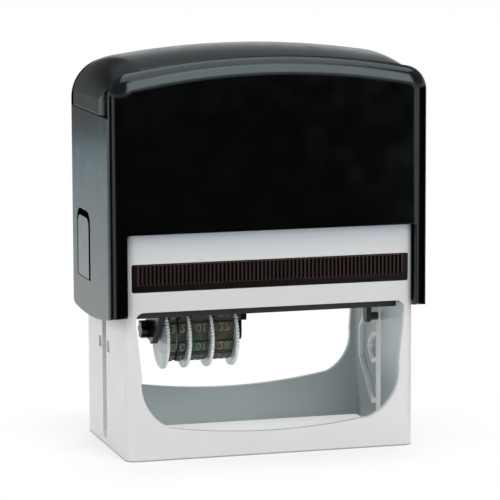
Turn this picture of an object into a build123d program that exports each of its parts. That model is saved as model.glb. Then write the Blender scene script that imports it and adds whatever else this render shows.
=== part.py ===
from build123d import *
from math import cos, hypot, pi, radians, sin
import os

# Self-inking date stamp. Millimetres, +Z up, front towards -Y,
# origin on the table under the middle of the frame.

# Frame
FRAME_WIDTH = 88.0
FRAME_DEPTH = 51.4
FRAME_WALL = 1.8
FRAME_CORNER = 3.0
BEAM_HEIGHT = 6.1
WINDOW_SIDE = 2.6
WINDOW_TOP_CORNER = 2.5
FRONT_SILL = 7.0
FRONT_LEAN = 2.0
FRONT_CURVE_TOP = 18.0
FRONT_CURVE_MIDDLE = (4.9, 7.0)
FRONT_CURVE_END = (10.9, 2.4)
BACK_SILL = 11.1
BACK_LEAN = 1.2
BACK_CURVE_TOP = 16.0
BACK_CURVE_MIDDLE = (3.2, 7.6)
BACK_CURVE_END = (8.6, 3.0)
DECK_THICK = 1.8
TRAY_DEPTH = 8.5
RAIL_REACH = 1.8
RAIL_THICK = 1.5

# Travel of the cap, and the carriage that turns over on it
TRAVEL = 38.0
PIVOT_Y = 2.2
DIE_FACE = 5.75
DIE_THICK = 2.45
DIE_RELIEF = 0.9
DIE_END_INSET = 1.4
DIE_FRONT_INSET = 2.5
BORDER_WIDTH = 1.0
BAR_COUNT = 5
BAR_PITCH = 6.2
BAR_HEIGHT = 1.6
BAR_MARGIN = 4.0
CUSHION_THICK = 0.9
PLATE_THICK = 5.0
PLATE_RIM = 1.5
PLATE_WEB = 1.6
PLATE_MARGIN = 0.3
PLATE_END_GAP = 2.8
PLATE_TURN_GAP = 0.7
FRONT_BAR_END_GAP = 1.0
PIN_RADIUS = 1.9
PIN_INBOARD = 5.0
PIN_RUNNING = 0.06
PIN_CHAMFER = 0.3
BOSS_WALL = 1.3
SLOT_CLEARANCE = 0.5
SLOT_BOTTOM = 2.0
POCKET_Z = 30.6
POCKET_WIDTH = 3.4
POCKET_HEIGHT = 3.2
POCKET_DEEP = 0.6
POCKET_GAP = 1.0

# Cam track on the inside of the frame's ends
CAM_REACH = 9.0
CAM_PIN_RADIUS = 1.2
CAM_PIN_GAP = 0.3
CAM_CLEARANCE = 0.6
TRACK_RISE = 1.4
TRACK_RIM = 1.0
TRACK_BEND = 2.2
TRACK_BULGE = 0.7
TRACK_ROOM = 1.5
TRACK_STRAIGHT = 8.5
ARM_THICK = 1.5
ARM_MARGIN = 0.6

# Ink cartridge
CARTRIDGE_HEIGHT = 7.9
CARTRIDGE_WALL = 1.5
BEZEL_SIDE = 2.0
BEZEL_THICK = 2.0
BEZEL_CORNER = 0.4
RIB_PITCH = 1.2
RIB_GROOVE = 0.75
RIB_DEPTH = 0.8
RIB_TOP_MARGIN = 0.35
RIB_END_MARGIN = 1.4
LIP_HEIGHT = 1.9
PAD_CLEARANCE = 2.5
PAD_SKIRT = 1.9
PAD_MARGIN = 0.8
BACK_GAP = 0.6
BACK_WALL = 1.2
SLIDE_GAP = 0.2

# Date unit
WHEEL_DROP = 12.05
WHEEL_RADIUS = 9.5
WHEEL_RIM = 0.9
FIRST_WHEEL_INBOARD = 12.9
UNITS_STEP = 6.7
MONTH_STEP = 7.0
YEAR_STEP = 7.7
WHEEL_TEETH = 60
TOOTH_DEPTH = 0.5
HUB_RADIUS = 5.3
AXLE_RADIUS = 1.1
AXLE_RUNNING = 0.05
AXLE_SEAT = 1.0
BAND_GAP = 0.2
BAND_THICK = 0.9
BAND_CORNER = 2.2
TYPE_HEIGHT = 0.8
TYPE_PITCH = 4.2
TYPE_LENGTH = 2.9
SIDE_TYPES = 3
LOW_TYPES = 5
CORNER_TYPE_ANGLE = 35
CHEEK_THICK = 1.9
CHEEK_GAP = 0.9
CHEEK_EYE = 0.8
CHEEK_BACK = 6.0
LEFT_SHOULDER = 7.5
RIGHT_SHOULDER = 5.2
OPENING_MARGIN = 0.1
OPENING_GAP = 0.5
KNOB_RADIUS = 2.8
KNOB_LOBES = 6
LOBE_RADIUS = 0.75
KNOB_LENGTH = 2.4
KNOB_RISE = 2.1
KNOB_BACK = 3.4
STUD_RADIUS = 0.8

# Cap
CAP_WALL = 2.0
CAP_EDGE = 5.5
CAP_GUIDE = 0.4
CAP_FRONT_GAP = 0.3
SIDE_ROOM = 2.1
CUTOUT_SIDE = 0.1
CUTOUT_DROP = 1.5
CUTOUT_CORNER = 0.8
GUIDE_RIB_Y = 20.0
PIVOT_BOSS_WALL = 2.3
ARM_COVER = 4.25
ARM_FRONT_RISE = 3.4
ARM_BACK_RISE = 1.5
ARM_FRONT_CORNER = 1.5
ARM_BACK_CORNER = 9.0
CROWN_RISE = 9.2
CAP_ARCH = 5.3
CAP_FRONT_CORNER = 7.5
CAP_BACK_CORNER = 12.0
SEAM_DROP = 6.5
CEILING_GAP = 0.5
CEILING_THICK = 1.6
CEILING_CORNER = 2.5

# Lid
LID_HALF_DEPTH = 23.4
LID_RISE = 1.8
LID_ARCH = 4.9
LID_SAG = 2.0
LID_CORNER = 13.0
LID_FRONT_CORNER = 12.0
LID_BACK_CORNER = 3.0
LID_WALL = 2.0
LID_TRIM = 0.1
LID_GAP = 0.3

# Lock buttons
BUTTON_Y = 9.0
BUTTON_WIDTH = 14.0
BUTTON_BOTTOM = 50.2
BUTTON_HEIGHT = 18.2
BUTTON_FRONT_GAP = 2.2
BUTTON_BACK_GAP = 1.0
BUTTON_TOP_GAP = 2.1
BUTTON_FOOT_GAP = 0.15
BUTTON_PIN_RADIUS = 0.8
BUTTON_PIN_RUNNING = 0.08
BUTTON_CORNER = 3.0
FOOT_MARGIN = 0.5
LUG_THICK = 1.6
LUG_HEIGHT = 3.2
NOSE_Z = 65.7
NOSE_WIDTH = 7.0
NOSE_HEIGHT = 2.0
NOSE_REACH = 1.0

# Return springs
SPRING_INBOARD = 12.2
SPRING_RADIUS = 5.0
SPRING_WIRE = 0.6
SPRING_TURNS = 7
SPRING_POST = 4.0
SPRING_SEAT_GAP = 0.05

# Places that follow from the sizes above
frame_half_w = FRAME_WIDTH / 2
frame_half_d = FRAME_DEPTH / 2
inner_half_w = frame_half_w - FRAME_WALL
inner_half_d = frame_half_d - FRAME_WALL
window_half = frame_half_w - WINDOW_SIDE
pivot_z = TRAVEL + DIE_FACE
die_bottom = pivot_z + DIE_FACE - DIE_THICK
cushion_bottom = die_bottom - CUSHION_THICK
plate_bottom = cushion_bottom - PLATE_THICK
plate_half_l = inner_half_w - PLATE_END_GAP
front_reach = inner_half_d - PIVOT_Y - PLATE_TURN_GAP
die_half_l = plate_half_l - DIE_END_INSET
die_half_d = front_reach - DIE_FRONT_INSET
plate_half_d = die_half_d + PLATE_MARGIN
slot_half = PIN_RADIUS + SLOT_CLEARANCE
pad_bottom = pivot_z + DIE_FACE + PAD_CLEARANCE
cartridge_bottom = pad_bottom - PAD_SKIRT
cartridge_top = cartridge_bottom + CARTRIDGE_HEIGHT
window_top = cartridge_bottom - BEAM_HEIGHT
deck_z = cartridge_top + SLIDE_GAP
frame_height = deck_z + DECK_THICK + TRAY_DEPTH
spring_x = inner_half_w - SPRING_INBOARD
ceiling_z = frame_height + TRAVEL + CEILING_GAP
ceiling_top = ceiling_z + CEILING_THICK
seam_z = ceiling_z - SEAM_DROP
guide_half_w = frame_half_w + CAP_GUIDE
skin_half_w = guide_half_w + SIDE_ROOM
cap_half_w = skin_half_w + CAP_WALL
cavity_half_d = frame_half_d + CAP_FRONT_GAP
cap_half_d = cavity_half_d + CAP_WALL
cap_crown = ceiling_top + CROWN_RISE
cap_shoulder = cap_crown - CAP_ARCH
lid_crown = cap_crown + LID_RISE
lid_shoulder = lid_crown - LID_ARCH
lid_axis_z = lid_crown - (LID_HALF_DEPTH ** 2 + LID_SAG ** 2) / (2 * LID_SAG)
arm_low = pivot_z - ARM_COVER
wheel_z = pivot_z - WHEEL_DROP
wheel_steps = (UNITS_STEP, MONTH_STEP, YEAR_STEP)
wheel_x = [FIRST_WHEEL_INBOARD - plate_half_l + sum(wheel_steps[:i]) for i in range(4)]
cheek_left = wheel_x[0] - WHEEL_RIM / 2 - CHEEK_GAP
cheek_right = wheel_x[3] + WHEEL_RIM / 2 + CHEEK_GAP
band_inner = HUB_RADIUS + BAND_GAP
band_outer = band_inner + BAND_THICK
band_top = pivot_z + DIE_FACE - TYPE_HEIGHT
opening_half_y = band_outer + TYPE_HEIGHT + OPENING_GAP
opening_x0 = cheek_left + OPENING_MARGIN
opening_x1 = cheek_right - OPENING_MARGIN
opening_mid = (opening_x0 + opening_x1) / 2
opening_len = opening_x1 - opening_x0

os.makedirs("parts", exist_ok=True)


def window_lines(sill, lean, curve_top, curve_middle, curve_end):
    """Draw a window: leaning sides, round lower corners and a sill that sags in the middle.

    The curve's middle and end are given inwards from the window's side and up from the sill.
    """
    for way in (-1, 1):
        start = (way * (window_half - lean), sill + curve_top)
        middle = (way * (window_half - curve_middle[0]), sill + curve_middle[1])
        end = (way * (window_half - curve_end[0]), sill + curve_end[1])
        Line((way * window_half, window_top), start)
        ThreePointArc(start, middle, end)
    Line((-window_half, window_top), (window_half, window_top))
    sill_half = window_half - curve_end[0]
    sill_end = sill + curve_end[1]
    ThreePointArc((-sill_half, sill_end), (0, sill), (sill_half, sill_end))


def cam_point(turn):
    """Where the cam pin stands, in Y and Z, when the carriage has turned by turn degrees."""
    drop = TRAVEL * turn / 180
    y = PIVOT_Y + CAM_REACH * sin(radians(turn))
    z = pivot_z - drop - CAM_REACH * cos(radians(turn))
    return (y, z)


track_mid = pivot_z - TRAVEL / 2
track_half = CAM_PIN_RADIUS + CAM_CLEARANCE
track_rise = cam_point(0)[1] - track_mid
track_run = CAM_REACH + TRACK_BULGE
track_slope = track_rise / track_run
lip_inset = (track_half + TRACK_RIM / 2) * hypot(track_rise, track_run) / track_rise
lip_y = PIVOT_Y + track_run - lip_inset
lip_rise = track_slope * (lip_y - PIVOT_Y)
rim_y = PIVOT_Y + track_run + track_half + TRACK_RIM + TRACK_ROOM
rim_rise = TRACK_STRAIGHT / 2 + track_slope * (rim_y - PIVOT_Y)


def loop_points(half, top):
    """Corners of a date band's loop, from the left of the hub over the top to the right."""
    return [
        (PIVOT_Y - half, wheel_z),
        (PIVOT_Y - half, top),
        (PIVOT_Y + half, top),
        (PIVOT_Y + half, wheel_z),
    ]


def arch_lines(half_w, low, shoulder, crown):
    """Draw the outline of an arched block: a flat bottom, upright sides and a crowned top."""
    Line((-half_w, low), (half_w, low))
    Line((half_w, low), (half_w, shoulder))
    ThreePointArc((half_w, shoulder), (0, crown), (-half_w, shoulder))
    Line((-half_w, shoulder), (-half_w, low))


# Frame: a tall box that is open below and above, with a window in front and behind
with BuildPart() as base_frame:
    with BuildSketch():
        RectangleRounded(FRAME_WIDTH, FRAME_DEPTH, FRAME_CORNER)
        RectangleRounded(2 * inner_half_w, 2 * inner_half_d, FRAME_CORNER - FRAME_WALL,
                         mode=Mode.SUBTRACT)
    extrude(amount=frame_height)

    # Deck over the cartridge, and the rails under it
    with BuildSketch(Plane.XY.offset(deck_z)):
        Rectangle(2 * inner_half_w, 2 * inner_half_d)
    extrude(amount=DECK_THICK)
    rail_x = inner_half_w - RAIL_REACH / 2
    with BuildSketch(Plane.XY.offset(cartridge_bottom - SLIDE_GAP)):
        with GridLocations(2 * rail_x, 0, 2, 1):
            Rectangle(RAIL_REACH, 2 * inner_half_d)
    extrude(amount=-RAIL_THICK)

    # Posts that centre the springs
    with BuildSketch(Plane.XY.offset(deck_z + DECK_THICK)):
        with GridLocations(2 * spring_x, 0, 2, 1):
            Circle(SPRING_RADIUS - 2 * SPRING_WIRE)
    extrude(amount=SPRING_POST)

    # Front window, cut from the front face inwards
    with BuildSketch(Plane.XZ.offset(frame_half_d)):
        with BuildLine():
            window_lines(FRONT_SILL, FRONT_LEAN, FRONT_CURVE_TOP, FRONT_CURVE_MIDDLE, FRONT_CURVE_END)
        make_face()
        fillet(vertices().group_by(Axis.Y)[-1], WINDOW_TOP_CORNER)
    extrude(amount=-FRAME_WALL, mode=Mode.SUBTRACT)

    # Back window, with a higher sill
    with BuildSketch(Plane.XZ.offset(-frame_half_d)):
        with BuildLine():
            window_lines(BACK_SILL, BACK_LEAN, BACK_CURVE_TOP, BACK_CURVE_MIDDLE, BACK_CURVE_END)
        make_face()
        fillet(vertices().group_by(Axis.Y)[-1], WINDOW_TOP_CORNER)
    extrude(amount=FRAME_WALL, mode=Mode.SUBTRACT)

    # Cartridge slot through the front wall
    bezel_half = frame_half_w - BEZEL_SIDE
    slot_height = CARTRIDGE_HEIGHT + 2 * SLIDE_GAP
    with BuildSketch(Plane.XZ.offset(frame_half_d)):
        with Locations((0, cartridge_bottom + CARTRIDGE_HEIGHT / 2)):
            RectangleRounded(2 * (bezel_half + SLIDE_GAP), slot_height, BEZEL_CORNER + SLIDE_GAP)
    extrude(amount=-FRAME_CORNER, mode=Mode.SUBTRACT)

    # Cam track on both end walls: an inner lip with a round bend, and an outer rim with a straight back
    for side in (-1, 1):
        with BuildSketch(Plane.YZ.offset(side * (inner_half_w - TRACK_RISE))):
            with BuildLine():
                FilletPolyline((PIVOT_Y, track_mid + lip_rise), (lip_y, track_mid),
                               (PIVOT_Y, track_mid - lip_rise), radius=TRACK_BEND)
            trace(line_width=TRACK_RIM)
            with BuildLine():
                Polyline((PIVOT_Y, track_mid + rim_rise), (rim_y, track_mid + TRACK_STRAIGHT / 2),
                         (rim_y, track_mid - TRACK_STRAIGHT / 2), (PIVOT_Y, track_mid - rim_rise))
                offset(amount=TRACK_RIM, side=Side.LEFT)
            make_face()
        extrude(amount=side * TRACK_RISE)

    # Slots for the pivot pins, through both end walls
    slot_top = pivot_z + slot_half
    with BuildSketch(Plane.YZ.offset(-frame_half_w)):
        with Locations((PIVOT_Y, (slot_top + SLOT_BOTTOM) / 2)):
            SlotOverall(slot_top - SLOT_BOTTOM, 2 * slot_half, rotation=90)
    extrude(amount=FRAME_WIDTH, mode=Mode.SUBTRACT)

    # Shallow pockets beside the slots, on the outside
    for side in (-1, 1):
        with BuildSketch(Plane.YZ.offset(side * frame_half_w)):
            with Locations((PIVOT_Y, POCKET_Z)):
                with GridLocations(2 * (slot_half + POCKET_GAP) + POCKET_WIDTH, 0, 2, 1):
                    Rectangle(POCKET_WIDTH, POCKET_HEIGHT)
        extrude(amount=-side * POCKET_DEEP, mode=Mode.SUBTRACT)
base_frame.part.label = "base_frame"
export_step(base_frame.part, "parts/base_frame.step")


# Ink cartridge: a tray that is open below, behind a ribbed front
body_half_w = inner_half_w - 2 * SLIDE_GAP
body_back = inner_half_d - BACK_GAP
bezel_front = -frame_half_d
pad_top = cartridge_top - CARTRIDGE_WALL
pad_back = body_back - BACK_WALL
pad_front = PIVOT_Y - die_half_d - PAD_MARGIN
pad_half_l = die_half_l + PAD_MARGIN
with BuildPart() as ink_cartridge:
    with BuildSketch(Plane.XY.offset(cartridge_bottom)):
        with Locations((0, (body_back + bezel_front) / 2)):
            Rectangle(2 * body_half_w, body_back - bezel_front)
    extrude(amount=CARTRIDGE_HEIGHT)

    # Pocket for the pad, and a hollow between the pad and the front
    well_front = bezel_front + BEZEL_THICK
    well_back = pad_front - CARTRIDGE_WALL
    for low_y, high_y in ((pad_front, pad_back), (well_front, well_back)):
        with BuildSketch(Plane.XY.offset(cartridge_bottom)):
            with Locations((0, (low_y + high_y) / 2)):
                Rectangle(2 * pad_half_l, high_y - low_y)
        extrude(amount=pad_top - cartridge_bottom, mode=Mode.SUBTRACT)

    # Bezel with small round corners
    with BuildSketch(Plane.XZ.offset(-bezel_front)):
        with Locations((0, cartridge_bottom + CARTRIDGE_HEIGHT / 2)):
            RectangleRounded(2 * bezel_half, CARTRIDGE_HEIGHT, BEZEL_CORNER)
    extrude(amount=-FRAME_WALL)

    # Upright ribs above a plain lip
    rib_height = CARTRIDGE_HEIGHT - LIP_HEIGHT - RIB_TOP_MARGIN
    rib_count = int(2 * (bezel_half - RIB_END_MARGIN) / RIB_PITCH)
    with BuildSketch(Plane.XZ.offset(-bezel_front)):
        with Locations((0, cartridge_bottom + LIP_HEIGHT + rib_height / 2)):
            with GridLocations(RIB_PITCH, 0, rib_count, 1):
                Rectangle(RIB_GROOVE, rib_height)
    extrude(amount=-RIB_DEPTH, mode=Mode.SUBTRACT)
ink_cartridge.part.label = "ink_cartridge"
export_step(ink_cartridge.part, "parts/ink_cartridge.step")


# Ink pad, above the turned-up die
with BuildPart() as ink_pad:
    with BuildSketch(Plane.XY.offset(pad_bottom)):
        with Locations((0, (pad_back + pad_front) / 2)):
            Rectangle(2 * pad_half_l, pad_back - pad_front)
    extrude(amount=pad_top - pad_bottom)
ink_pad.part.label = "ink_pad"
export_step(ink_pad.part, "parts/ink_pad.step")


# Carriage: the plate that carries the die and turns over about the pivot pins
boss_half = PIN_RADIUS + BOSS_WALL
boss_length = PIN_INBOARD + BOSS_WALL
with BuildPart() as carriage:
    with BuildSketch(Plane.XY.offset(plate_bottom)):
        with Locations((0, PIVOT_Y)):
            RectangleRounded(2 * plate_half_l, 2 * plate_half_d, PLATE_RIM)
    extrude(amount=PLATE_THICK)
    with BuildSketch(Plane.XY.offset(plate_bottom)):
        with Locations((0, PIVOT_Y)):
            Rectangle(2 * (plate_half_l - PLATE_RIM), 2 * (plate_half_d - PLATE_RIM))
    extrude(amount=PLATE_THICK - PLATE_WEB, mode=Mode.SUBTRACT)

    # Stiff bar along the front edge, as wide as the window
    bar_depth = front_reach - plate_half_d + PLATE_RIM
    with BuildSketch(Plane.XY.offset(plate_bottom)):
        with Locations((0, PIVOT_Y - front_reach + bar_depth / 2)):
            RectangleRounded(2 * (inner_half_w - FRONT_BAR_END_GAP), bar_depth, PLATE_RIM)
    extrude(amount=PLATE_THICK)

    for side in (-1, 1):
        boss_x = side * (plate_half_l - boss_length / 2)
        with BuildSketch(Plane.XY.offset(plate_bottom)):
            with Locations((boss_x, PIVOT_Y)):
                Rectangle(boss_length, 2 * boss_half)
        extrude(amount=PLATE_THICK)

        # Arm down to the cam pin that runs in the frame's track
        with BuildSketch(Plane.YZ.offset(side * plate_half_l)):
            with Locations((PIVOT_Y, pivot_z - CAM_REACH / 2)):
                SlotCenterToCenter(CAM_REACH, 2 * (CAM_PIN_RADIUS + ARM_MARGIN), rotation=90)
        extrude(amount=-side * ARM_THICK)
        with BuildSketch(Plane.YZ.offset(side * plate_half_l)):
            with Locations((PIVOT_Y, pivot_z - CAM_REACH)):
                Circle(CAM_PIN_RADIUS)
        extrude(amount=side * (PLATE_END_GAP - CAM_PIN_GAP))
        with BuildSketch(Plane.YZ.offset(side * plate_half_l)):
            with Locations((PIVOT_Y, pivot_z)):
                Circle(PIN_RADIUS)
        extrude(amount=-side * PIN_INBOARD, mode=Mode.SUBTRACT)

    # Opening that the date bands come up through
    with BuildSketch(Plane.XY.offset(plate_bottom)):
        with Locations((opening_mid, PIVOT_Y)):
            Rectangle(opening_len, 2 * opening_half_y)
    extrude(amount=PLATE_THICK, mode=Mode.SUBTRACT)
carriage.part.label = "carriage"
export_step(carriage.part, "parts/carriage.step")


# Pivot pins, held in the carriage and turning in the cap's arms
pin_seat = cap_half_w - CAP_WALL / 2
for side, word in ((-1, "left"), (1, "right")):
    with BuildPart() as pivot_pin:
        with BuildSketch(Plane.YZ.offset(side * (plate_half_l - PIN_INBOARD))):
            with Locations((PIVOT_Y, pivot_z)):
                Circle(PIN_RADIUS)
        extrude(amount=side * (pin_seat - PIN_CHAMFER - plate_half_l + PIN_INBOARD))
        tip_edge = edges().sort_by(Axis.X)[-1 if side > 0 else 0]
        chamfer(tip_edge, PIN_CHAMFER)
    pivot_pin.part.label = f"pivot_pin_{word}"
    export_step(pivot_pin.part, f"parts/pivot_pin_{word}.step")


# Foam cushion under the die
with BuildPart() as die_cushion:
    with BuildSketch(Plane.XY.offset(cushion_bottom)):
        with Locations((0, PIVOT_Y)):
            Rectangle(2 * die_half_l, 2 * die_half_d)
        with Locations((opening_mid, PIVOT_Y)):
            Rectangle(opening_len, 2 * opening_half_y, mode=Mode.SUBTRACT)
    extrude(amount=CUSHION_THICK)
die_cushion.part.label = "die_cushion"
export_step(die_cushion.part, "parts/die_cushion.step")


# Rubber text die: a sheet with a raised border, a box round the date and plain bars
with BuildPart() as text_die:
    with BuildSketch(Plane.XY.offset(die_bottom)):
        with Locations((0, PIVOT_Y)):
            Rectangle(2 * die_half_l, 2 * die_half_d)
        with Locations((opening_mid, PIVOT_Y)):
            Rectangle(opening_len, 2 * opening_half_y, mode=Mode.SUBTRACT)
    extrude(amount=DIE_THICK - DIE_RELIEF)
    with BuildSketch(Plane.XY.offset(die_bottom + DIE_THICK - DIE_RELIEF)):
        with Locations((0, PIVOT_Y)):
            Rectangle(2 * die_half_l, 2 * die_half_d)
            Rectangle(2 * (die_half_l - BORDER_WIDTH), 2 * (die_half_d - BORDER_WIDTH),
                      mode=Mode.SUBTRACT)
    extrude(amount=DIE_RELIEF)
    with BuildSketch(Plane.XY.offset(die_bottom + DIE_THICK - DIE_RELIEF)):
        with Locations((opening_mid, PIVOT_Y)):
            Rectangle(opening_len + 2 * BORDER_WIDTH, 2 * (opening_half_y + BORDER_WIDTH))
            Rectangle(opening_len, 2 * opening_half_y, mode=Mode.SUBTRACT)
    extrude(amount=DIE_RELIEF)
    bars_x = (opening_x1 + die_half_l) / 2
    bars_len = die_half_l - opening_x1 - 2 * BAR_MARGIN
    with BuildSketch(Plane.XY.offset(die_bottom + DIE_THICK - DIE_RELIEF)):
        with Locations((bars_x, PIVOT_Y)):
            with GridLocations(0, BAR_PITCH, 1, BAR_COUNT):
                Rectangle(bars_len, BAR_HEIGHT)
        with Locations((opening_mid, PIVOT_Y)):
            with GridLocations(0, (BAR_COUNT - 1) * BAR_PITCH + BAR_HEIGHT, 1, 2):
                Rectangle(opening_len, BAR_HEIGHT)
    extrude(amount=DIE_RELIEF)
text_die.part.label = "text_die"
export_step(text_die.part, "parts/text_die.step")


# Date unit frame: two cheeks that hang from rails under the carriage's web
web_bottom = cushion_bottom - PLATE_WEB
rail_bottom = web_bottom - PLATE_RIM
cheek_foot = AXLE_RADIUS + CHEEK_EYE
cheek_foot_z = wheel_z - cheek_foot / 2
cheek_half = band_outer + TYPE_HEIGHT
rail_y = opening_half_y + PLATE_RIM
rail_outer = rail_y + PLATE_RIM
left_shoulder_z = wheel_z + LEFT_SHOULDER
right_shoulder_z = wheel_z + RIGHT_SHOULDER
support_bottom = wheel_z + WHEEL_RADIUS + OPENING_GAP
with BuildPart() as date_unit_frame:
    # Left cheek, with a slanted front edge
    with BuildSketch(Plane.YZ.offset(cheek_left)):
        with BuildLine():
            Polyline((PIVOT_Y - rail_outer, web_bottom), (PIVOT_Y - rail_outer, left_shoulder_z),
                     (PIVOT_Y - cheek_foot, cheek_foot_z), (PIVOT_Y + CHEEK_BACK, cheek_foot_z),
                     (PIVOT_Y + CHEEK_BACK, rail_bottom), (PIVOT_Y + rail_outer, rail_bottom),
                     (PIVOT_Y + rail_outer, web_bottom), close=True)
        make_face()
        with Locations((PIVOT_Y, wheel_z)):
            Circle(cheek_foot)
    extrude(amount=-CHEEK_THICK)

    # Right cheek: a narrow leg below a wide shoulder
    with BuildSketch(Plane.YZ.offset(cheek_right)):
        with Locations((PIVOT_Y, (web_bottom + rail_bottom) / 2)):
            Rectangle(2 * rail_outer, PLATE_RIM)
        with Locations((PIVOT_Y, (web_bottom + right_shoulder_z) / 2)):
            Rectangle(2 * cheek_half, web_bottom - right_shoulder_z)
        with Locations((PIVOT_Y, (web_bottom + wheel_z) / 2)):
            Rectangle(2 * cheek_foot, web_bottom - wheel_z)
        with Locations((PIVOT_Y, wheel_z)):
            Circle(cheek_foot)
    extrude(amount=CHEEK_THICK)
    with BuildSketch(Plane.XY.offset(web_bottom)):
        with Locations((opening_mid, PIVOT_Y)):
            with GridLocations(0, 2 * rail_y, 1, 2):
                Rectangle(cheek_right - cheek_left + 2 * CHEEK_THICK, 2 * PLATE_RIM)
    extrude(amount=-PLATE_RIM)

    # Blind holes for the axle, and the hole for the knob's stud
    with BuildSketch(Plane.YZ.offset(cheek_left - AXLE_SEAT)):
        with Locations((PIVOT_Y, wheel_z)):
            Circle(AXLE_RADIUS)
    extrude(amount=cheek_right - cheek_left + 2 * AXLE_SEAT, mode=Mode.SUBTRACT)
    with BuildSketch(Plane.YZ.offset(cheek_left)):
        with Locations((PIVOT_Y + KNOB_BACK, wheel_z + KNOB_RISE)):
            Circle(STUD_RADIUS)
    extrude(amount=-CHEEK_THICK, mode=Mode.SUBTRACT)
date_unit_frame.part.label = "date_unit_frame"
export_step(date_unit_frame.part, "parts/date_unit_frame.step")


# Wheel axle, from cheek to cheek
with BuildPart() as wheel_axle:
    with BuildSketch(Plane.YZ.offset(cheek_left - AXLE_SEAT)):
        with Locations((PIVOT_Y, wheel_z)):
            Circle(AXLE_RADIUS)
    extrude(amount=cheek_right - cheek_left + 2 * AXLE_SEAT)
wheel_axle.part.label = "wheel_axle"
export_step(wheel_axle.part, "parts/wheel_axle.step")


# Lobed knob that clamps the date unit
with BuildPart() as clamp_knob:
    with BuildSketch(Plane.YZ.offset(cheek_left - CHEEK_THICK)):
        with Locations((PIVOT_Y + KNOB_BACK, wheel_z + KNOB_RISE)):
            Circle(KNOB_RADIUS - LOBE_RADIUS)
            with PolarLocations(KNOB_RADIUS - LOBE_RADIUS, KNOB_LOBES):
                Circle(LOBE_RADIUS)
    extrude(amount=-KNOB_LENGTH)
    with BuildSketch(Plane.YZ.offset(cheek_left - CHEEK_THICK)):
        with Locations((PIVOT_Y + KNOB_BACK, wheel_z + KNOB_RISE)):
            Circle(STUD_RADIUS)
    extrude(amount=CHEEK_THICK)
clamp_knob.part.label = "clamp_knob"
export_step(clamp_knob.part, "parts/clamp_knob.step")


# Date wheels: a toothed disc beside a hub that carries its band
rim_gaps = [step - WHEEL_RIM for step in wheel_steps]
band_names = ["tens", "units", "month", "year"]
hub_lengths = [(rim_gaps[0] - BAND_GAP) / 2, (rim_gaps[0] - BAND_GAP) / 2,
               rim_gaps[1] - BAND_GAP, rim_gaps[2] - BAND_GAP]
hub_sides = [1, -1, -1, -1]
tooth_step = 360 / WHEEL_TEETH
root_radius = WHEEL_RADIUS - TOOTH_DEPTH
star = []
for k in range(WHEEL_TEETH):
    tip = radians(k * tooth_step)
    root = radians((k + 0.5) * tooth_step)
    star.append((WHEEL_RADIUS * cos(tip), WHEEL_RADIUS * sin(tip)))
    star.append((root_radius * cos(root), root_radius * sin(root)))
for i in range(4):
    with BuildPart() as date_wheel:
        with BuildSketch(Plane.YZ.offset(wheel_x[i] - WHEEL_RIM / 2)):
            with Locations((PIVOT_Y, wheel_z)):
                Polygon(*star)
        extrude(amount=WHEEL_RIM)
        hub_start = wheel_x[i] + hub_sides[i] * WHEEL_RIM / 2
        with BuildSketch(Plane.YZ.offset(hub_start)):
            with Locations((PIVOT_Y, wheel_z)):
                Circle(HUB_RADIUS)
        extrude(amount=hub_sides[i] * hub_lengths[i])
        with BuildSketch(Plane.YZ.offset(cheek_left)):
            with Locations((PIVOT_Y, wheel_z)):
                Circle(AXLE_RADIUS + AXLE_RUNNING)
        extrude(amount=cheek_right - cheek_left, mode=Mode.SUBTRACT)
    date_wheel.part.label = f"date_wheel_{band_names[i]}"
    export_step(date_wheel.part, f"parts/date_wheel_{band_names[i]}.step")


# Band support: the anvil inside the bands that backs the digits as they print
support_half = band_inner - BAND_GAP
support_top = band_top - BAND_THICK - BAND_GAP
with BuildPart() as band_support:
    with BuildSketch(Plane.YZ.offset(cheek_left)):
        with Locations((PIVOT_Y, (web_bottom + support_bottom) / 2)):
            Rectangle(2 * support_half, web_bottom - support_bottom)
    extrude(amount=cheek_right - cheek_left)
    with BuildSketch(Plane.YZ.offset(opening_x0 + BAND_GAP)):
        with Locations((PIVOT_Y, (support_top + support_bottom) / 2)):
            Rectangle(2 * support_half, support_top - support_bottom)
        fillet(vertices().group_by(Axis.Y)[-1], BAND_CORNER)
    extrude(amount=opening_len - 2 * BAND_GAP)
band_support.part.label = "band_support"
export_step(band_support.part, "parts/band_support.step")


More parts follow.
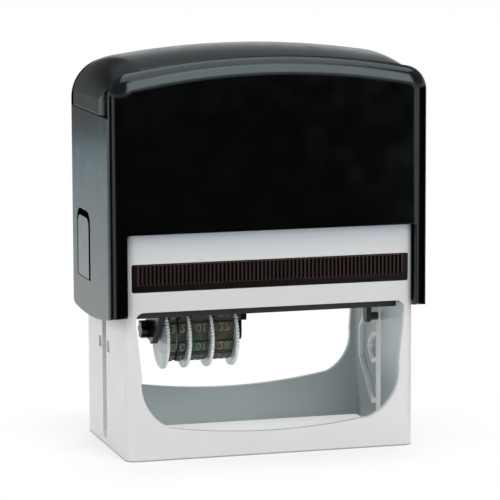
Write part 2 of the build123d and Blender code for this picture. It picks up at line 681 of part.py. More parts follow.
# Date bands: rubber loops over the hub and the support, with raised type blocks
low_type_step = 180 / LOW_TYPES
outer_corner = BAND_CORNER + BAND_THICK
for i in range(4):
    band_width = hub_lengths[i] - 2 * BAND_GAP
    band_mid = wheel_x[i] + hub_sides[i] * (WHEEL_RIM / 2 + hub_lengths[i] / 2)
    band_x0 = band_mid - band_width / 2
    with BuildPart() as date_band:
        with BuildSketch(Plane.YZ.offset(band_x0)):
            with BuildLine():
                Polyline(*loop_points(band_outer, band_top))
                ThreePointArc((PIVOT_Y + band_outer, wheel_z), (PIVOT_Y, wheel_z - band_outer),
                              (PIVOT_Y - band_outer, wheel_z))
            make_face()
            fillet(vertices().group_by(Axis.Y)[-1], outer_corner)
            with BuildLine():
                Polyline(*loop_points(band_inner, band_top - BAND_THICK))
                ThreePointArc((PIVOT_Y + band_inner, wheel_z), (PIVOT_Y, wheel_z - band_inner),
                              (PIVOT_Y - band_inner, wheel_z))
            make_face(mode=Mode.SUBTRACT)
        extrude(amount=band_width)
        with BuildSketch(Plane.YZ.offset(band_x0 + BAND_GAP / 2)):
            with Locations((PIVOT_Y, band_top)):
                Rectangle(TYPE_LENGTH, 2 * TYPE_HEIGHT)
            with Locations((PIVOT_Y, wheel_z)):
                with PolarLocations(band_outer, LOW_TYPES, low_type_step / 2 - 180, 180):
                    Rectangle(2 * TYPE_HEIGHT, TYPE_LENGTH)
            with Locations((PIVOT_Y, (wheel_z + band_top) / 2 - TYPE_HEIGHT)):
                with GridLocations(2 * band_outer, TYPE_PITCH, 2, SIDE_TYPES):
                    Rectangle(2 * TYPE_HEIGHT, TYPE_LENGTH)
            for way, angle in ((1, CORNER_TYPE_ANGLE), (-1, 180 - CORNER_TYPE_ANGLE)):
                with Locations((PIVOT_Y + way * (band_outer - outer_corner), band_top - outer_corner)):
                    with PolarLocations(outer_corner, 1, angle):
                        Rectangle(2 * TYPE_HEIGHT, TYPE_LENGTH)
        extrude(amount=band_width - BAND_GAP)
    date_band.part.label = f"date_band_{band_names[i]}"
    export_step(date_band.part, f"parts/date_band_{band_names[i]}.step")


# Cap: the outer shell that is pressed down, open below and cut out in front and behind
with BuildPart() as cap_shell:
    for way, corner in ((-1, CAP_FRONT_CORNER), (1, CAP_BACK_CORNER)):
        with BuildSketch(Plane.XZ):
            with BuildLine():
                arch_lines(cap_half_w, 0, cap_shoulder, cap_crown)
            make_face()
            fillet(vertices().group_by(Axis.Y)[-1], corner)
        extrude(amount=-way * cap_half_d)
    outer_edges = edges().group_by(Axis.Y)[0] + edges().group_by(Axis.Y)[-1]
    fillet(outer_edges.filter_by(lambda edge: edge.center().Z > FRAME_WALL), CAP_EDGE)

    # Lower edge of the sides: a shallow arc, with a round corner at the back
    arm_front = arm_low + ARM_FRONT_RISE
    arm_back = arm_low + ARM_BACK_RISE
    with BuildSketch(Plane.YZ.offset(-cap_half_w)):
        with BuildLine():
            ThreePointArc((-cap_half_d, arm_front), (PIVOT_Y, arm_low), (cap_half_d, arm_back))
            Polyline((cap_half_d, arm_back), (cap_half_d, cap_crown), (-cap_half_d, cap_crown),
                     (-cap_half_d, arm_front))
        make_face()
        low_corners = vertices().filter_by(lambda corner: corner.Y < cap_crown / 2).sort_by(Axis.X)
        fillet(low_corners[0], ARM_FRONT_CORNER)
        low_corners = vertices().filter_by(lambda corner: corner.Y < cap_crown / 2).sort_by(Axis.X)
        fillet(low_corners[-1], ARM_BACK_CORNER)
    extrude(amount=2 * cap_half_w, mode=Mode.INTERSECT)

    # Room for the lid: over the ceiling, and beside it down to the seam
    lid_room_half = LID_HALF_DEPTH + LID_GAP
    with BuildSketch(Plane.XY.offset(seam_z)):
        Rectangle(4 * cap_half_w, 2 * lid_room_half)
    extrude(amount=cap_crown, mode=Mode.SUBTRACT)
    inner_top_half = skin_half_w - CAP_GUIDE
    with BuildSketch(Plane.XZ.offset(lid_room_half)):
        with Locations((0, (seam_z + ceiling_top) / 2)):
            Rectangle(2 * inner_top_half, ceiling_top - seam_z)
        fillet(vertices().group_by(Axis.Y)[-1], CEILING_CORNER)
    extrude(amount=-2 * lid_room_half)

    # Inside: the space that the frame slides in
    with BuildSketch():
        Rectangle(2 * guide_half_w, 2 * cavity_half_d)
    extrude(amount=ceiling_z, mode=Mode.SUBTRACT)
    with BuildSketch():
        with GridLocations(skin_half_w + guide_half_w, 0, 2, 1):
            Rectangle(SIDE_ROOM, 2 * (cavity_half_d - CAP_WALL))
    extrude(amount=seam_z - CAP_WALL, mode=Mode.SUBTRACT)

    # Cut-outs in front and behind
    cutout_top = frame_height - CUTOUT_DROP
    with BuildSketch(Plane.XZ.offset(cap_half_d)):
        with Locations((0, cutout_top / 2)):
            RectangleRounded(2 * (frame_half_w - CUTOUT_SIDE), cutout_top, CUTOUT_CORNER)
    extrude(amount=-2 * cap_half_d, mode=Mode.SUBTRACT)

    # In each side: guide ribs, the pivot boss, the button's opening and its hinge lugs
    button_half = BUTTON_WIDTH / 2
    hinge_x = (guide_half_w + skin_half_w) / 2
    hinge_z = BUTTON_BOTTOM + BUTTON_PIN_RADIUS + FOOT_MARGIN
    lug_y = button_half + BUTTON_FRONT_GAP + LUG_THICK / 2
    opening_y = BUTTON_Y + (BUTTON_BACK_GAP - BUTTON_FRONT_GAP) / 2
    opening_low = BUTTON_BOTTOM - BUTTON_FOOT_GAP
    opening_high = BUTTON_BOTTOM + BUTTON_HEIGHT + BUTTON_TOP_GAP
    for side in (-1, 1):
        with BuildSketch(Plane.YZ.offset(side * skin_half_w)):
            with Locations((0, (arm_front + seam_z) / 2)):
                with GridLocations(2 * GUIDE_RIB_Y, 0, 2, 1):
                    Rectangle(CAP_WALL, seam_z - arm_front)
            with Locations((PIVOT_Y, pivot_z)):
                Circle(PIN_RADIUS + PIVOT_BOSS_WALL)
            with Locations((BUTTON_Y, hinge_z)):
                with GridLocations(2 * lug_y, 0, 2, 1):
                    Rectangle(LUG_THICK, LUG_HEIGHT)
        extrude(amount=-side * SIDE_ROOM)
        with BuildSketch(Plane.YZ.offset(side * guide_half_w)):
            with Locations((PIVOT_Y, pivot_z)):
                Circle(PIN_RADIUS + PIN_RUNNING)
        extrude(amount=side * (pin_seat - guide_half_w), mode=Mode.SUBTRACT)
        with BuildSketch(Plane.YZ.offset(side * skin_half_w)):
            with Locations((opening_y, (opening_low + opening_high) / 2)):
                Rectangle(BUTTON_WIDTH + BUTTON_FRONT_GAP + BUTTON_BACK_GAP, opening_high - opening_low)
            fillet(vertices().group_by(Axis.Y)[-1], BUTTON_CORNER + BUTTON_BACK_GAP)
        extrude(amount=side * CAP_WALL, mode=Mode.SUBTRACT)
    with BuildSketch(Plane.XZ.offset(-BUTTON_Y - lug_y - LUG_THICK)):
        with Locations((0, hinge_z)):
            with GridLocations(2 * hinge_x, 0, 2, 1):
                Circle(BUTTON_PIN_RADIUS + BUTTON_PIN_RUNNING)
    extrude(amount=2 * (lug_y + LUG_THICK), mode=Mode.SUBTRACT)

    # Posts that centre the springs
    with BuildSketch(Plane.XY.offset(ceiling_z)):
        with GridLocations(2 * spring_x, 0, 2, 1):
            Circle(SPRING_RADIUS - 2 * SPRING_WIRE)
    extrude(amount=-SPRING_POST)
cap_shell.part.label = "cap_shell"
export_step(cap_shell.part, "parts/cap_shell.step")


def lid_block(inset):
    """The lid's form, drawn in by inset: crowned both ways, with round front corners."""
    with BuildPart() as block:
        with BuildSketch(Plane.XZ):
            with BuildLine():
                arch_lines(cap_half_w - inset, lid_axis_z, lid_shoulder - inset, lid_crown - inset)
            make_face()
            fillet(vertices().group_by(Axis.Y)[-1], LID_CORNER - inset)
        revolve(axis=Axis((0, 0, lid_axis_z), (1, 0, 0)))
        with BuildSketch(Plane.XY.offset(seam_z + LID_GAP / 2)):
            Rectangle(2 * (cap_half_w - LID_TRIM - inset), 2 * (LID_HALF_DEPTH - inset))
            fillet(vertices().group_by(Axis.Y)[0], LID_FRONT_CORNER - inset)
            fillet(vertices().group_by(Axis.Y)[-1], LID_BACK_CORNER - inset)
        extrude(amount=lid_crown - seam_z, mode=Mode.INTERSECT)
    return block.part


# Lid: the crowned cover that lifts off the top of the cap, hollow, with end skirts
# down to the seam and long walls down to the ceiling
with BuildPart() as top_lid:
    add(lid_block(0))
    add(lid_block(LID_WALL), mode=Mode.SUBTRACT)
    with BuildSketch():
        Rectangle(2 * (cap_half_w - LID_WALL), 2 * cap_half_d)
    extrude(amount=ceiling_top + LID_GAP / 2, mode=Mode.SUBTRACT)
top_lid.part.label = "top_lid"
export_step(top_lid.part, "parts/top_lid.step")


# Lock buttons: tongues in the cap's sides that hinge at their lower ends
for side, word in ((-1, "left"), (1, "right")):
    with BuildPart() as lock_button:
        with BuildSketch(Plane.YZ.offset(side * skin_half_w)):
            with Locations((BUTTON_Y, BUTTON_BOTTOM + BUTTON_HEIGHT / 2)):
                Rectangle(BUTTON_WIDTH, BUTTON_HEIGHT)
            fillet(vertices().group_by(Axis.Y)[-1], BUTTON_CORNER)
        extrude(amount=side * CAP_WALL)

        # Foot with the hinge pin, and the nose that locks in the frame
        with BuildSketch(Plane.YZ.offset(side * skin_half_w)):
            with Locations((BUTTON_Y, hinge_z)):
                Rectangle(BUTTON_WIDTH, 2 * (BUTTON_PIN_RADIUS + FOOT_MARGIN))
        extrude(amount=-side * (SIDE_ROOM - CAP_GUIDE))
        with BuildSketch(Plane.YZ.offset(side * skin_half_w)):
            with Locations((BUTTON_Y, NOSE_Z)):
                Rectangle(NOSE_WIDTH, NOSE_HEIGHT)
        extrude(amount=-side * NOSE_REACH)
        with BuildSketch(Plane.XZ.offset(-BUTTON_Y - lug_y - LUG_THICK / 2)):
            with Locations((side * hinge_x, hinge_z)):
                Circle(BUTTON_PIN_RADIUS)
        extrude(amount=2 * lug_y + LUG_THICK)
    lock_button.part.label = f"lock_button_{word}"
    export_step(lock_button.part, f"parts/lock_button_{word}.step")


# Return springs: coils between the frame's deck and the cap's ceiling
spring_bottom = deck_z + DECK_THICK + SPRING_WIRE + SPRING_SEAT_GAP
spring_top = ceiling_z - SPRING_WIRE - SPRING_SEAT_GAP
quarter_rise = (spring_top - spring_bottom) / (4 * SPRING_TURNS)


def coil_point(centre_x, quarters):
    """A point on the coil's middle line, after so many quarter turns."""
    angle = quarters * pi / 2
    return (centre_x + SPRING_RADIUS * cos(angle), SPRING_RADIUS * sin(angle),
            spring_bottom + quarter_rise * quarters)


for side, word in ((-1, "left"), (1, "right")):
    with BuildPart() as return_spring:
        with BuildLine() as coil:
            for q in range(4 * SPRING_TURNS):
                ThreePointArc(coil_point(side * spring_x, q), coil_point(side * spring_x, q + 0.5),
                              coil_point(side * spring_x, q + 1))
        with BuildSketch(Plane(origin=coil.line @ 0, z_dir=coil.line % 0)):
            Circle(SPRING_WIRE)
        sweep()
    return_spring.part.label = f"return_spring_{word}"
    export_step(return_spring.part, f"parts/return_spring_{word}.step")

print("coil spacing", round(4 * quarter_rise - 2 * SPRING_WIRE, 2), "mm")
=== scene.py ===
"""Self-inking date stamp: materials, small parts, light and camera round its CAD nodes.

Metres, +Z up, front towards -Y, origin on the table under the middle of the frame.
"""
from math import cos, hypot, pi, radians, sin

import bpy
from mathutils import Matrix, Vector


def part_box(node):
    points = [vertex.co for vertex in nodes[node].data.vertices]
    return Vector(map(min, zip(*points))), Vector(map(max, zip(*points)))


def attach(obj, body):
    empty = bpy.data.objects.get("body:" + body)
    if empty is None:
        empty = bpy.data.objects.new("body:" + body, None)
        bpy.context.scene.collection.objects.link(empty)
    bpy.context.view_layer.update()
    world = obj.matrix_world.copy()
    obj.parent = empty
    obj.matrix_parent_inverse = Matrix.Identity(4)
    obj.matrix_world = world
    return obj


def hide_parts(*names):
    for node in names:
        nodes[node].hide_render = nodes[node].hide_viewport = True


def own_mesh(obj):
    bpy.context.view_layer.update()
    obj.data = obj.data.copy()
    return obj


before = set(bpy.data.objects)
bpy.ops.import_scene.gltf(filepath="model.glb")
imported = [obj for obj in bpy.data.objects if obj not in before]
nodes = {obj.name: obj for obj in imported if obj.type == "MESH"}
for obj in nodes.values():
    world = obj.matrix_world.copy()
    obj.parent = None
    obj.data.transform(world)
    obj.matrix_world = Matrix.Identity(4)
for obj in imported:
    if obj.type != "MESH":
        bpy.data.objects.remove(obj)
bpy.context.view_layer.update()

MM = 0.001

# Camera, fitted to the photograph
CAMERA_AZIMUTH = radians(16.01)
CAMERA_ELEVATION = radians(8.27)
CAMERA_ROLL = radians(-0.22)
CAMERA_DISTANCE = 901.91 * MM
CAMERA_TARGET = Vector((0.77, 0.0, 57.21)) * MM
CAMERA_NEAR = 10 * MM
FOCAL_PIXELS = 2997.47
PICTURE_SIZE = 500
SENSOR = 36.0

# Date bands: the loop's sizes, and the figures on them
BLOCK_RISE = 0.8 * MM
BLOCK_PITCH = 4.2 * MM
LOOP_CORNER = 3.1 * MM
LOWER_BLOCKS = 5
LOWER_STEP = radians(36)
CORNER_ANGLE = radians(35)
FIGURE_RISE = 0.18 * MM
FIGURE_HEIGHT = 2.6 * MM
FONT_SIZE = 1.38 * FIGURE_HEIGHT
BAND_TEXTS = {
    "tens": list("0123-0123-0123"),
    "units": list("0123456789-012"),
    "month": ["01", "02", "03", "04", "05", "06", "07", "08", "09", "10", "11", "12", "--", "01"],
    "year": ["28", "29", "30", "31", "32", "33", "34", "35", "36", "37", "--", "25", "26", "27"],
}

# Opening in the foam cushion, against the band support along X and the bands along Y
HOLE_INSET = 0.1 * MM
HOLE_GAP = 0.4 * MM

# Return springs: the coil's radius, its wire and its turns
COIL_RADIUS = 5.0 * MM
COIL_WIRE = 0.6 * MM
COIL_TURNS = 7

# Noise: the part of its range that is used, and its cells in a metre, or in a cell for fluff
NOISE_MIDDLE = (0.3, 0.7)
PLASTIC_DRIFT = 28
PLASTIC_WEAR = 160
RUBBER_DRIFT = 180
RUBBER_PATCHES = 420
STEEL_DRIFT = 240
STEEL_MARKS = 2400
FLUFF_PER_CELL = 0.4
FLOOR_DRIFT = 3

# Fine relief of each kind of surface: its depth and, where all pieces share it, its strength
PLASTIC_DEPTH = 0.1 * MM
RUBBER_DEPTH = 0.1 * MM
RUBBER_GRAIN = 0.25
RUBBER_EDGE = 0.12 * MM
STEEL_DEPTH = 0.05 * MM
STEEL_GRAIN = 0.08
SOFT_DEPTH = 0.3 * MM

# Shades and gloss that all pieces of a kind share
RUBBER_ROUGH = (0.75, 0.45)
STEEL_DARK = (0.50, 0.50, 0.51)
STEEL_LIGHT = (0.62, 0.62, 0.63)
SOFT_ROUGH = 0.9
SOFT_SHEEN = 0.2
CAP_SHEEN = 0.6
CAP_TINT = (0.82, 0.96, 1.0, 1.0)

# Painted shade on the frame outside: darker over the window, a bluish painted shadow close under
# the cap, and a dark painted contact line along the bottom rim
FRAME_SHADE_OVER_WINDOW = (0.567, 0.558, 0.549)
SHADE_OVER_WINDOW_HEIGHTS = (34 * MM, 46 * MM)
FRAME_CAP_SHADOW = (0.450, 0.478, 0.510)
CAP_SHADOW_HEIGHTS = (58 * MM, 66 * MM)
FRAME_CONTACT_SHADE = (0.30, 0.30, 0.29)
CONTACT_SHADE_HEIGHTS = (0.25 * MM, 0.50 * MM)

# Painted light and shade on the frame inside, lighter at the front and darker at the back, and a
# painted highlight on the lip beside each cam track
INWARD = (-8 * MM, -2 * MM)
INSIDE_SHADE_FRONT = (0.74, 0.81, 0.82)
INSIDE_SHADE_BACK = (0.46, 0.51, 0.51)
INSIDE_SHADE_DEPTHS = (-20 * MM, 14 * MM)
TRACK_LIP_HIGHLIGHT = (0.86, 0.90, 0.91)
TRACK_LIP_SIDES = (40.7 * MM, 42.1 * MM)
TRACK_LIP_END = 20.0 * MM
EDGE_FADE = 0.05 * MM

# Painted highlight on the rib tops on the front of the ink cartridge
RIB_END = 1.4 * MM
RIB_FOOT = 1.9 * MM
RIB_HIGHLIGHT = (0.031, 0.018, 0.016)

# World and lamps
WORLD_COLOUR = (0.92, 0.975, 1.0, 1.0)
WORLD_HEIGHTS = (0.0, 0.33)
WORLD_LEVELS = (0.90, 0.20)
LAMP_COLOUR = (0.97, 0.99, 1.0)
LAMP_TARGET = Vector((0, 0, 0.06))

# Floor, and the share of plain white in what is seen of it
FLOOR_HALF = 4.0
FLOOR_DARK = (0.82, 0.82, 0.82)
FLOOR_LIGHT = (0.86, 0.86, 0.86)
FLOOR_ROUGH = 0.9
FLOOR_SHEEN = 0.1
WHITE_REACH = 40 * MM
WHITE_SHARES = (0.50, 0.99)

# Cards round the object
CARD_LIFT = 0.6 * MM
CARD_STEPS = 24
CARD_BLACK = (0.002, 0.002, 0.002)
CARD_GREY = (0.24, 0.43, 0.49)


# Shader nodes

def add(tree, kind, **values):
    """A node with some of its inputs or settings set."""
    node = tree.nodes.new(kind)
    for key, value in values.items():
        if key in node.inputs:
            node.inputs[key].default_value = value
        else:
            setattr(node, key, value)
    return node


def feed(tree, value, socket):
    """Link a node's output to a socket, or set the socket to plain numbers."""
    if isinstance(value, bpy.types.NodeSocket):
        tree.links.new(value, socket)
    else:
        socket.default_value = value


def noise(tree, place, scale, detail=3.0):
    """Noise that is fixed to the piece, of so many cells in a metre."""
    node = add(tree, "ShaderNodeTexNoise", Scale=scale, Detail=detail)
    tree.links.new(place.outputs["Object"], node.inputs["Vector"])
    return node.outputs["Fac"]


def ramp(tree, value, span, ends=(0.0, 1.0), smooth=False):
    """The first end up to the span's start, the second from its end on, and a rise between."""
    kind = "SMOOTHSTEP" if smooth else "LINEAR"
    node = add(tree, "ShaderNodeMapRange", interpolation_type=kind)
    for key, number in zip(("From Min", "From Max", "To Min", "To Max"), (*span, *ends)):
        node.inputs[key].default_value = number
    tree.links.new(value, node.inputs["Value"])
    return node.outputs["Result"]


def vary(tree, source, low=0.0, high=1.0):
    """A noise's middle range, spread from low to high."""
    return ramp(tree, source, NOISE_MIDDLE, (low, high))


def fade(tree, value, start, end, falls=False):
    """Zero below start, one above end, smooth between, or the other way round if it falls."""
    ends = (1.0, 0.0) if falls else (0.0, 1.0)
    return ramp(tree, value, (start, end), ends, smooth=True)


def past(tree, value, line, falls=False):
    """One above a line and zero below it, or the other way round, with a narrow fade."""
    return fade(tree, value, line - EDGE_FADE, line + EDGE_FADE, falls)


def product(tree, first, *others):
    """Several shares multiplied."""
    for other in others:
        node = add(tree, "ShaderNodeMath", operation="MULTIPLY")
        tree.links.new(first, node.inputs[0])
        tree.links.new(other, node.inputs[1])
        first = node.outputs["Value"]
    return first


def vector_math(tree, operation, *values):
    """A sum on vectors, each a node's output or plain numbers."""
    node = add(tree, "ShaderNodeVectorMath", operation=operation)
    for socket, value in zip(node.inputs, values):
        feed(tree, value, socket)
    result = "Value" if operation in ("LENGTH", "DOT_PRODUCT") else "Vector"
    return node.outputs[result]


def blend(tree, share, first, second):
    """A mix of two shades, each a colour or another node's colour."""
    node = add(tree, "ShaderNodeMix", data_type="RGBA")
    tree.links.new(share, node.inputs["Factor"])
    for key, shade in (("A", first), ("B", second)):
        value = (*shade, 1) if isinstance(shade, tuple) else shade
        feed(tree, value, node.inputs[key])
    return node.outputs["Result"]


def relief(tree, shader, height, strength, depth, edge=None, samples=6):
    """Fine relief from a height, and edges softened by so much, if any."""
    bump = add(tree, "ShaderNodeBump", Strength=strength, Distance=depth)
    tree.links.new(height, bump.inputs["Height"])
    if edge:
        rounding = add(tree, "ShaderNodeBevel", samples=samples, Radius=edge)
        tree.links.new(rounding.outputs["Normal"], bump.inputs["Normal"])
    tree.links.new(bump.outputs["Normal"], shader.inputs["Normal"])


def mix_surface(tree, share, first, second):
    """A mix of two shaders as the material's surface."""
    mix = add(tree, "ShaderNodeMixShader")
    tree.links.new(share, mix.inputs["Fac"])
    tree.links.new(first, mix.inputs[1])
    tree.links.new(second, mix.inputs[2])
    tree.links.new(mix.outputs["Shader"], tree.nodes["Material Output"].inputs["Surface"])


def new_material(name):
    """A node material, with its tree, its shader and its texture coordinates."""
    material = bpy.data.materials.new(name)
    material.use_nodes = True
    tree = material.node_tree
    return material, tree, tree.nodes["Principled BSDF"], add(tree, "ShaderNodeTexCoord")


# Materials

def plastic(name, dark, light, rough, grain=0.02, grain_scale=2600, edge=0.35 * MM,
            by_place=None, **sockets):
    """Moulded plastic: a drifting shade, fine grain, uneven gloss and softened edges.

    The function by_place, if any, changes the shade from place to place.
    """
    material, tree, shader, place = new_material(name)
    shade = blend(tree, vary(tree, noise(tree, place, PLASTIC_DRIFT)), dark, light)
    if by_place:
        shade = by_place(tree, place, shade)
    tree.links.new(shade, shader.inputs["Base Color"])
    wear = noise(tree, place, PLASTIC_WEAR, detail=5.0)
    tree.links.new(vary(tree, wear, *rough), shader.inputs["Roughness"])
    pits = noise(tree, place, grain_scale, detail=2.0)
    relief(tree, shader, pits, grain, PLASTIC_DEPTH, edge)
    for key, value in sockets.items():
        shader.inputs[key.replace("_", " ")].default_value = value
    return material


def place_parts(tree, place):
    """A point's place on the piece: X without its sign, Y and Z."""
    parts = add(tree, "ShaderNodeSeparateXYZ")
    tree.links.new(place.outputs["Object"], parts.inputs["Vector"])
    side = add(tree, "ShaderNodeMath", operation="ABSOLUTE")
    tree.links.new(parts.outputs["X"], side.inputs[0])
    return side.outputs["Value"], parts.outputs["Y"], parts.outputs["Z"]


def paint_frame_shade(tree, place, skin):
    """Thin walls: painted shade that goes with the height outside, and painted bluish light and
    shade inside, with a painted highlight on the track lips.

    A wall is inside where its normal points to the piece's middle.
    """
    side, along, height = place_parts(tree, place)
    # Painted shade by height: darker over the window, a bluish shadow under the cap, and a dark
    # contact line at the bottom rim
    skin = blend(tree, fade(tree, height, *SHADE_OVER_WINDOW_HEIGHTS), skin, FRAME_SHADE_OVER_WINDOW)
    skin = blend(tree, fade(tree, height, *CAP_SHADOW_HEIGHTS), skin, FRAME_CAP_SHADOW)
    skin = blend(tree, fade(tree, height, *CONTACT_SHADE_HEIGHTS, falls=True), skin, FRAME_CONTACT_SHADE)
    # Painted light and shade inside: bluish, lighter towards the front and darker towards the back
    depth = fade(tree, along, *INSIDE_SHADE_DEPTHS)
    inside_shade = blend(tree, depth, INSIDE_SHADE_FRONT, INSIDE_SHADE_BACK)
    # Painted highlight on the lip beside each cam track
    lip_highlight = product(tree,
                  past(tree, side, TRACK_LIP_SIDES[0]),
                  past(tree, side, TRACK_LIP_SIDES[1], falls=True),
                  past(tree, along, TRACK_LIP_END, falls=True))
    inside_shade = blend(tree, lip_highlight, inside_shade, TRACK_LIP_HIGHLIGHT)
    outward = vector_math(tree, "MULTIPLY", place.outputs["Object"], (1, 1, 0))
    facing = vector_math(tree, "DOT_PRODUCT", outward, place.outputs["Normal"])
    return blend(tree, fade(tree, facing, *INWARD, falls=True), skin, inside_shade)


def paint_rib_highlight(tree, place, skin):
    """Painted highlight: rib tops lighter than the grooves between them."""
    low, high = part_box("ink_cartridge")
    side, along, height = place_parts(tree, place)
    rib_highlight_share = product(tree,
                     fade(tree, along, low[1] + EDGE_FADE, low[1] + 2 * EDGE_FADE, falls=True),
                     past(tree, side, high[0] - RIB_END, falls=True),
                     past(tree, height, low[2] + RIB_FOOT))
    return blend(tree, rib_highlight_share, skin, RIB_HIGHLIGHT)


def rubber(name, dark, light, stain, stain_share):
    """Matt rubber with dried ink in patches."""
    material, tree, shader, place = new_material(name)
    shade = blend(tree, vary(tree, noise(tree, place, RUBBER_DRIFT)), dark, light)
    patches = noise(tree, place, RUBBER_PATCHES, detail=6.0)
    stained = blend(tree, vary(tree, patches, 0, stain_share), shade, stain)
    tree.links.new(stained, shader.inputs["Base Color"])
    tree.links.new(vary(tree, patches, *RUBBER_ROUGH), shader.inputs["Roughness"])
    relief(tree, shader, patches, RUBBER_GRAIN, RUBBER_DEPTH, RUBBER_EDGE, samples=4)
    return material


def steel(name, rough):
    """Drawn or ground steel with fine lengthwise marks."""
    material, tree, shader, place = new_material(name)
    drift = vary(tree, noise(tree, place, STEEL_DRIFT))
    tree.links.new(blend(tree, drift, STEEL_DARK, STEEL_LIGHT), shader.inputs["Base Color"])
    marks = noise(tree, place, STEEL_MARKS, detail=4.0)
    tree.links.new(vary(tree, marks, *rough), shader.inputs["Roughness"])
    relief(tree, shader, marks, STEEL_GRAIN, STEEL_DEPTH)
    shader.inputs["Metallic"].default_value = 1.0
    return material


def soft(name, dark, light, cell, strength):
    """Felt or foam: a coarse, open surface."""
    material, tree, shader, place = new_material(name)
    fluff = noise(tree, place, cell * FLUFF_PER_CELL, detail=6.0)
    tree.links.new(blend(tree, vary(tree, fluff), dark, light), shader.inputs["Base Color"])
    cells = add(tree, "ShaderNodeTexVoronoi", Scale=cell)
    tree.links.new(place.outputs["Object"], cells.inputs["Vector"])
    relief(tree, shader, cells.outputs["Distance"], strength, SOFT_DEPTH)
    shader.inputs["Roughness"].default_value = SOFT_ROUGH
    shader.inputs["Sheen Weight"].default_value = SOFT_SHEEN
    return material


frame_plastic = plastic("frame_plastic", (0.622, 0.609, 0.590), (0.661, 0.647, 0.627),
                        rough=(0.32, 0.44), grain=0.12, grain_scale=3200, by_place=paint_frame_shade)
cap_plastic = plastic("cap_plastic", (0.0008, 0.0007, 0.0007), (0.0016, 0.0015, 0.0015),
                      rough=(0.12, 0.20), grain_scale=900, edge=0.4 * MM,
                      Specular_IOR_Level=CAP_SHEEN, Specular_Tint=CAP_TINT)
lid_plastic = plastic("lid_plastic", (0.0010, 0.0010, 0.0011), (0.0020, 0.0020, 0.0021),
                      rough=(0.16, 0.24), grain=0.03, grain_scale=900, edge=0.5 * MM,
                      Specular_IOR_Level=CAP_SHEEN, Specular_Tint=CAP_TINT)
button_plastic = plastic("button_plastic", (0.0010, 0.0010, 0.0011), (0.0020, 0.0020, 0.0021),
                         rough=(0.14, 0.22), grain_scale=900, edge=0.3 * MM,
                         Specular_IOR_Level=CAP_SHEEN, Coat_Weight=0.3)
cartridge_plastic = plastic("cartridge_plastic", (0.005, 0.0020, 0.0018), (0.008, 0.0036, 0.0033),
                            rough=(0.26, 0.38), grain=0.08, edge=0.12 * MM, by_place=paint_rib_highlight,
                            Specular_IOR_Level=0.3)
# A lighter copy of the black plastic in unit_plastic: its raised base colour is painted light on
# the bar and band support
carriage_plastic = plastic("carriage_plastic", (0.042, 0.041, 0.036), (0.062, 0.061, 0.055),
                           rough=(0.30, 0.46), grain=0.14, edge=0.2 * MM,
                           Specular_IOR_Level=0.2)
unit_plastic = plastic("unit_plastic", (0.006, 0.006, 0.005), (0.012, 0.012, 0.011),
                       rough=(0.16, 0.28), grain=0.10, edge=0.25 * MM, Specular_IOR_Level=0.3)
wheel_plastic = plastic("wheel_plastic", (0.88, 0.93, 0.91), (0.93, 0.96, 0.95),
                        rough=(0.18, 0.30), grain=0.08, edge=0.12 * MM, Transmission_Weight=0.15)
band_rubber = rubber("band_rubber", (0.045, 0.105, 0.075), (0.110, 0.070, 0.052),
                     stain=(0.012, 0.012, 0.012), stain_share=0.85)
figure_rubber = rubber("figure_rubber", (0.17, 0.20, 0.13), (0.33, 0.31, 0.18),
                       stain=(0.030, 0.026, 0.022), stain_share=0.5)
die_rubber = rubber("die_rubber", (0.22, 0.060, 0.045), (0.30, 0.085, 0.060),
                    stain=(0.030, 0.012, 0.030), stain_share=0.7)
spring_steel = steel("spring_steel", rough=(0.22, 0.38))
pin_steel = steel("pin_steel", rough=(0.16, 0.28))
pad_felt = soft("pad_felt", (0.010, 0.010, 0.028), (0.022, 0.022, 0.055), cell=2200, strength=0.6)
cushion_foam = soft("cushion_foam", (0.09, 0.09, 0.09), (0.15, 0.15, 0.15), cell=1600,
                    strength=0.9)

finishes = {
    "base_frame": frame_plastic,
    "cap_shell": cap_plastic,
    "top_lid": lid_plastic,
    "lock_button_left": button_plastic,
    "lock_button_right": button_plastic,
    "ink_cartridge": cartridge_plastic,
    "carriage": carriage_plastic,
    "band_support": carriage_plastic,
    "date_unit_frame": unit_plastic,
    "clamp_knob": unit_plastic,
    "text_die": die_rubber,
    "pivot_pin_left": pin_steel,
    "pivot_pin_right": pin_steel,
    "wheel_axle": pin_steel,
}
for band in BAND_TEXTS:
    finishes[f"date_band_{band}"] = band_rubber
    finishes[f"date_wheel_{band}"] = wheel_plastic
for node_name, finish in finishes.items():
    surfaces = nodes[node_name].data.materials
    surfaces.clear()
    surfaces.append(finish)


def mesh_object(name, points, faces, material, smooth=True):
    """A mesh of one material, its points in metres."""
    mesh = bpy.data.meshes.new(name)
    mesh.from_pydata([tuple(p) for p in points], [], faces)
    mesh.materials.append(material)
    if smooth:
        mesh.shade_smooth()
    piece = bpy.data.objects.new(name, mesh)
    bpy.context.scene.collection.objects.link(piece)
    return piece


# Return springs, wound between the frame's deck and the cap

